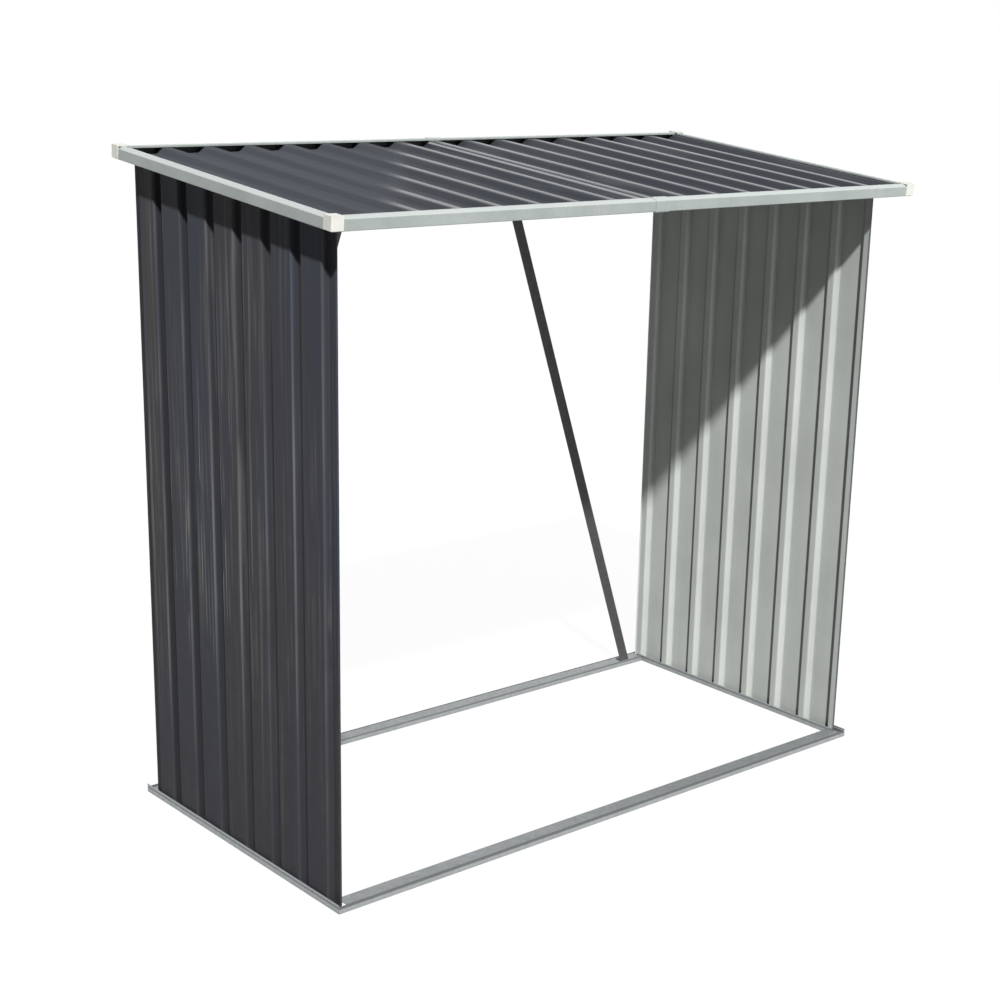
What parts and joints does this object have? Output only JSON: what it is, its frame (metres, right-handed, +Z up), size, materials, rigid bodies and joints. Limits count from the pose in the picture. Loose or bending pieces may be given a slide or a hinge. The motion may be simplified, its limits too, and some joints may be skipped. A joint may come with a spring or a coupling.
{
  "type": "log store",
  "caption": "Open-fronted log store of ribbed sheet steel with solid side walls, a lean-to roof with edge trims and corner caps, a folded floor frame and diagonal braces across the open back.",
  "frame": {"origin": "on the ground under the middle of the bounding box", "axes": "+X to the right seen from the open front, +Y to the back, +Z up"},
  "size_m": [1.72, 0.864, 1.54],
  "materials": {
    "floor_rail": "galvanised, satin",
    "wall_sheet": "dark grey paint, satin",
    "roof_frame": "galvanised, satin",
    "brace": "dull galvanised",
    "roof_sheet": "dark grey paint, satin",
    "edge_trim": "galvanised, satin",
    "corner_cap": "matt"
  },
  "bodies": {
    "root": {"base_front_rail": "floor_rail", "base_rear_rail": "floor_rail", "base_left_rail": "floor_rail", "base_right_rail": "floor_rail", "left_wall": "wall_sheet", "right_wall": "wall_sheet", "left_wall_plate": "roof_frame", "right_wall_plate": "roof_frame", "front_beam": "roof_frame", "rear_beam": "roof_frame", "left_brace": "brace", "right_brace": "brace", "roof_sheet_left": "roof_sheet", "roof_sheet_right": "roof_sheet", "front_trim_left": "edge_trim", "front_trim_right": "edge_trim", "rear_trim_left": "edge_trim", "rear_trim_right": "edge_trim", "left_trim": "edge_trim", "right_trim": "edge_trim", "front_left_cap": "corner_cap", "front_right_cap": "corner_cap", "rear_left_cap": "corner_cap", "rear_right_cap": "corner_cap"}
  },
  "joints": []
}
